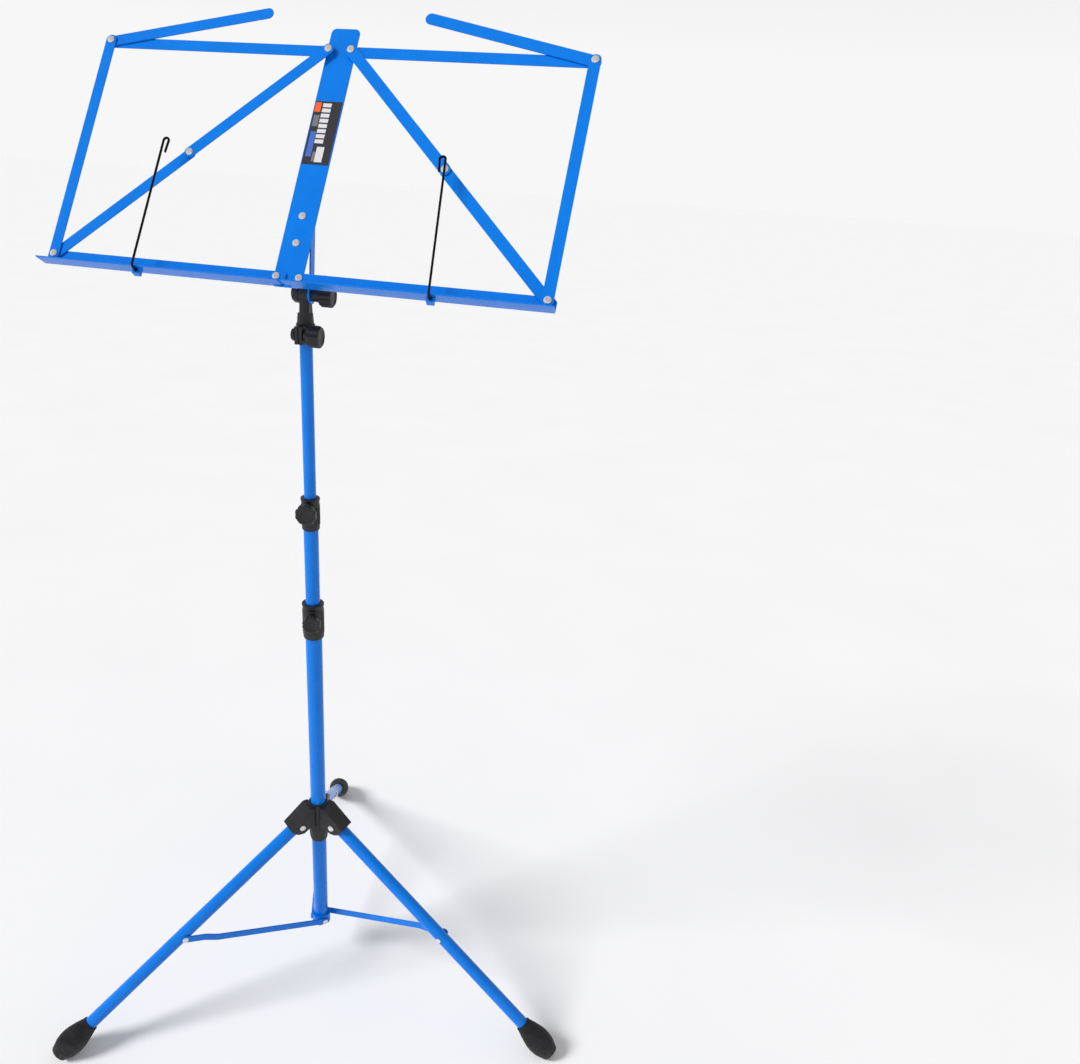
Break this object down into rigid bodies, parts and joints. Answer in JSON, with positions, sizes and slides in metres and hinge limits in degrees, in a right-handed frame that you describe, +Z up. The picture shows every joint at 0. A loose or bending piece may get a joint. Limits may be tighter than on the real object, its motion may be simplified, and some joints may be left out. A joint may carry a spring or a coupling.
{
  "type": "folding music stand",
  "caption": "Folding music stand with sliding tripod, telescoping column, tilting head and a desk of pivoting flat bars that folds up like scissors.",
  "frame": {"origin": "centre of the whole stand's footprint box, on the floor under the rubber soles", "axes": "+Z up along the column, -Y the side the player sits on, +X the player's right as seen facing the desk"},
  "size_m": [0.6025, 0.6134, 1.1073],
  "materials": {
    "blue_paint": "gloss enamel, light wear at the edges",
    "black_plastic": "satin moulded",
    "black_rubber": "matt, worn sole",
    "bright_steel": "zinc plated rivets",
    "black_wire": "black oxide spring wire"
  },
  "bodies": {
    "column": {"lower_tube": "blue_paint", "base_bracket": "blue_paint", "base_rivet_1": "bright_steel", "base_rivet_2": "bright_steel", "base_rivet_3": "bright_steel", "lower_collar": "black_plastic"},
    "lower_knob": {"lower_collar_knob": "black_plastic"},
    "hub": {"tripod_hub": "black_plastic", "leg_pin_1": "bright_steel", "leg_pin_2": "bright_steel", "leg_pin_3": "bright_steel"},
    "leg_1": {"leg_1": "blue_paint", "foot_cap_1": "black_rubber"},
    "leg_2": {"leg_2": "blue_paint", "foot_cap_2": "black_rubber"},
    "leg_3": {"leg_3": "blue_paint", "foot_cap_3": "black_rubber"},
    "brace_1": {"brace_1": "blue_paint", "brace_rivet_1": "bright_steel"},
    "brace_2": {"brace_2": "blue_paint", "brace_rivet_2": "bright_steel"},
    "brace_3": {"brace_3": "blue_paint", "brace_rivet_3": "bright_steel"},
    "middle_stage": {"middle_tube": "blue_paint", "upper_collar": "black_plastic"},
    "upper_knob": {"upper_collar_knob": "black_plastic"},
    "top_stage": {"top_tube": "blue_paint"},
    "head": {"head_clamp": "black_plastic", "head_clamp_bolt": "black_plastic", "tilt_bolt": "black_plastic"},
    "clamp_knob": {"head_clamp_knob": "black_plastic"},
    "tilt_knob": {"tilt_knob": "black_plastic"},
    "desk": {"centre_bar": "blue_paint", "tilt_bracket": "blue_paint", "bracket_rivet_1": "bright_steel", "bracket_rivet_2": "bright_steel", "left_rivet_bar_low": "bright_steel", "left_rivet_bar_top": "bright_steel", "right_rivet_bar_low": "bright_steel", "right_rivet_bar_top": "bright_steel"},
    "left_ledge": {"left_ledge": "blue_paint", "left_rivet_corner_low": "bright_steel"},
    "left_top_arm": {"left_top_arm": "blue_paint", "left_rivet_corner_top": "bright_steel"},
    "left_diagonal_upper": {"left_diagonal_upper": "blue_paint", "left_rivet_diagonal": "bright_steel"},
    "left_upright": {"left_upright": "blue_paint"},
    "left_diagonal_lower": {"left_diagonal_lower": "blue_paint"},
    "left_extension": {"left_extension_arm": "blue_paint"},
    "left_page_wire": {"left_page_wire": "black_wire"},
    "right_ledge": {"right_ledge": "blue_paint", "right_rivet_corner_low": "bright_steel"},
    "right_top_arm": {"right_top_arm": "blue_paint", "right_rivet_corner_top": "bright_steel"},
    "right_diagonal_upper": {"right_diagonal_upper": "blue_paint", "right_rivet_diagonal": "bright_steel"},
    "right_upright": {"right_upright": "blue_paint"},
    "right_diagonal_lower": {"right_diagonal_lower": "blue_paint"},
    "right_extension": {"right_extension_arm": "blue_paint"},
    "right_page_wire": {"right_page_wire": "black_wire"}
  },
  "joints": [
    {"name": "hub_slide", "type": "slide", "parent": "column", "child": "hub", "axis": [0, 0, 1], "range_m": [0, 0.2157]},
    {"name": "leg_1_fold", "type": "hinge", "parent": "hub", "child": "leg_1", "pos_m": [-0.02431, -0.04499, 0.242], "axis": [0.225, 0.9744, 0], "range_deg": [0, 52.9]},
    {"name": "leg_2_fold", "type": "hinge", "parent": "hub", "child": "leg_2", "pos_m": [-0.05851, -0.0131, 0.242], "axis": [-0.9563, -0.2924, 0], "range_deg": [0, 52.9]},
    {"name": "leg_3_fold", "type": "hinge", "parent": "hub", "child": "leg_3", "pos_m": [-0.06903, -0.05867, 0.242], "axis": [0.7314, -0.682, 0], "range_deg": [0, 52.9]},
    {"name": "brace_1_fold", "type": "hinge", "parent": "column", "child": "brace_1", "pos_m": [-0.04779, -0.02664, 0.062], "axis": [-0.225, -0.9744, 0], "range_deg": [0, 61.93]},
    {"name": "brace_2_fold", "type": "hinge", "parent": "column", "child": "brace_2", "pos_m": [-0.06267, -0.0426, 0.062], "axis": [0.9563, 0.2924, 0], "range_deg": [0, 61.93]},
    {"name": "brace_3_fold", "type": "hinge", "parent": "column", "child": "brace_3", "pos_m": [-0.0414, -0.04751, 0.062], "axis": [-0.7314, 0.682, 0], "range_deg": [0, 61.93]},
    {"name": "middle_slide", "type": "slide", "parent": "column", "child": "middle_stage", "axis": [0, 0, 1], "range_m": [-0.086, 0.28]},
    {"name": "top_slide", "type": "slide", "parent": "middle_stage", "child": "top_stage", "axis": [0, 0, 1], "range_m": [-0.15, 0.24]},
    {"name": "lower_knob_turn", "type": "hinge", "parent": "column", "child": "lower_knob", "pos_m": [-0.04623, -0.05326, 0.536], "axis": [0.2924, -0.9563, 0], "range_deg": [0, 360]},
    {"name": "upper_knob_turn", "type": "hinge", "parent": "middle_stage", "child": "upper_knob", "pos_m": [-0.04881, -0.05179, 0.664], "axis": [0.1392, -0.9903, 0], "range_deg": [0, 360]},
    {"name": "head_swivel", "type": "hinge", "parent": "top_stage", "child": "head", "pos_m": [-0.05062, -0.03892, 0.8414], "axis": [0, 0, 1], "continuous": true},
    {"name": "clamp_knob_turn", "type": "hinge", "parent": "head", "child": "clamp_knob", "pos_m": [-0.04062, -0.05342, 0.84145], "axis": [1, 0, 0], "range_deg": [0, 360]},
    {"name": "tilt_knob_turn", "type": "hinge", "parent": "head", "child": "tilt_knob", "pos_m": [-0.03662, -0.03892, 0.8762], "axis": [1, 0, 0], "range_deg": [0, 360]},
    {"name": "desk_tilt", "type": "hinge", "parent": "head", "child": "desk", "pos_m": [-0.05062, -0.03892, 0.8762], "axis": [-1, 0, 0], "range_deg": [-40, 50]},
    {"name": "left_ledge_fold", "type": "hinge", "parent": "desk", "child": "left_ledge", "pos_m": [-0.06322, -0.07222, 0.8928], "axis": [0, 0.8007, -0.599], "range_deg": [0, 87]},
    {"name": "left_top_arm_fold", "type": "hinge", "parent": "desk", "child": "left_top_arm", "pos_m": [-0.06322, 0.06256, 1.07296], "axis": [0, 0.8007, -0.599], "range_deg": [0, 87]},
    {"name": "left_diagonal_upper_fold", "type": "hinge", "parent": "desk", "child": "left_diagonal_upper", "pos_m": [-0.06322, 0.06256, 1.07296], "axis": [0, 0.8007, -0.599], "range_deg": [-44.4, 0]},
    {"name": "left_upright_fold", "type": "hinge", "parent": "left_ledge", "child": "left_upright", "pos_m": [-0.28822, -0.07222, 0.8928], "axis": [0, 0.8007, -0.599], "range_deg": [-87, 0]},
    {"name": "left_diagonal_lower_fold", "type": "hinge", "parent": "left_ledge", "child": "left_diagonal_lower", "pos_m": [-0.28822, -0.07222, 0.8928], "axis": [0, 0.8007, -0.599], "range_deg": [0, 44.4]},
    {"name": "left_extension_swing", "type": "hinge", "parent": "left_top_arm", "child": "left_extension", "pos_m": [-0.28822, 0.06256, 1.07296], "axis": [0, 0.8007, -0.599], "range_deg": [-77, 12.9]},
    {"name": "left_page_wire_swing", "type": "hinge", "parent": "left_ledge", "child": "left_page_wire", "pos_m": [-0.19422, -0.08007, 0.88231], "axis": [0, 0.8007, -0.599], "range_deg": [-10, 90]},
    {"name": "right_ledge_fold", "type": "hinge", "parent": "desk", "child": "right_ledge", "pos_m": [-0.04122, -0.07222, 0.8928], "axis": [0, -0.8007, 0.599], "range_deg": [0, 87]},
    {"name": "right_top_arm_fold", "type": "hinge", "parent": "desk", "child": "right_top_arm", "pos_m": [-0.04122, 0.06256, 1.07296], "axis": [0, -0.8007, 0.599], "range_deg": [0, 87]},
    {"name": "right_diagonal_upper_fold", "type": "hinge", "parent": "desk", "child": "right_diagonal_upper", "pos_m": [-0.04122, 0.06256, 1.07296], "axis": [0, -0.8007, 0.599], "range_deg": [-44.4, 0]},
    {"name": "right_upright_fold", "type": "hinge", "parent": "right_ledge", "child": "right_upright", "pos_m": [0.18378, -0.07222, 0.8928], "axis": [0, -0.8007, 0.599], "range_deg": [-87, 0]},
    {"name": "right_diagonal_lower_fold", "type": "hinge", "parent": "right_ledge", "child": "right_diagonal_lower", "pos_m": [0.18378, -0.07222, 0.8928], "axis": [0, -0.8007, 0.599], "range_deg": [0, 44.4]},
    {"name": "right_extension_swing", "type": "hinge", "parent": "right_top_arm", "child": "right_extension", "pos_m": [0.18378, 0.06256, 1.07296], "axis": [0, -0.8007, 0.599], "range_deg": [-77, 12.9]},
    {"name": "right_page_wire_swing", "type": "hinge", "parent": "right_ledge", "child": "right_page_wire", "pos_m": [0.08548, -0.08007, 0.88231], "axis": [0, -0.8007, 0.599], "range_deg": [-10, 85]}
  ],
  "couplings": [
    {"joint": "leg_1_fold", "follows": "hub_slide", "rad_per_m": 4.28},
    {"joint": "leg_2_fold", "follows": "hub_slide", "rad_per_m": 4.28},
    {"joint": "leg_3_fold", "follows": "hub_slide", "rad_per_m": 4.28},
    {"joint": "brace_1_fold", "follows": "hub_slide", "rad_per_m": 5.011},
    {"joint": "brace_2_fold", "follows": "hub_slide", "rad_per_m": 5.011},
    {"joint": "brace_3_fold", "follows": "hub_slide", "rad_per_m": 5.011},
    {"joint": "left_top_arm_fold", "follows": "left_ledge_fold", "ratio": 1},
    {"joint": "left_diagonal_upper_fold", "follows": "left_ledge_fold", "ratio": -0.5101},
    {"joint": "left_upright_fold", "follows": "left_ledge_fold", "ratio": -1},
    {"joint": "left_diagonal_lower_fold", "follows": "left_ledge_fold", "ratio": 0.5101},
    {"joint": "right_top_arm_fold", "follows": "right_ledge_fold", "ratio": 1},
    {"joint": "right_diagonal_upper_fold", "follows": "right_ledge_fold", "ratio": -0.5101},
    {"joint": "right_upright_fold", "follows": "right_ledge_fold", "ratio": -1},
    {"joint": "right_diagonal_lower_fold", "follows": "right_ledge_fold", "ratio": 0.5101}
  ]
}
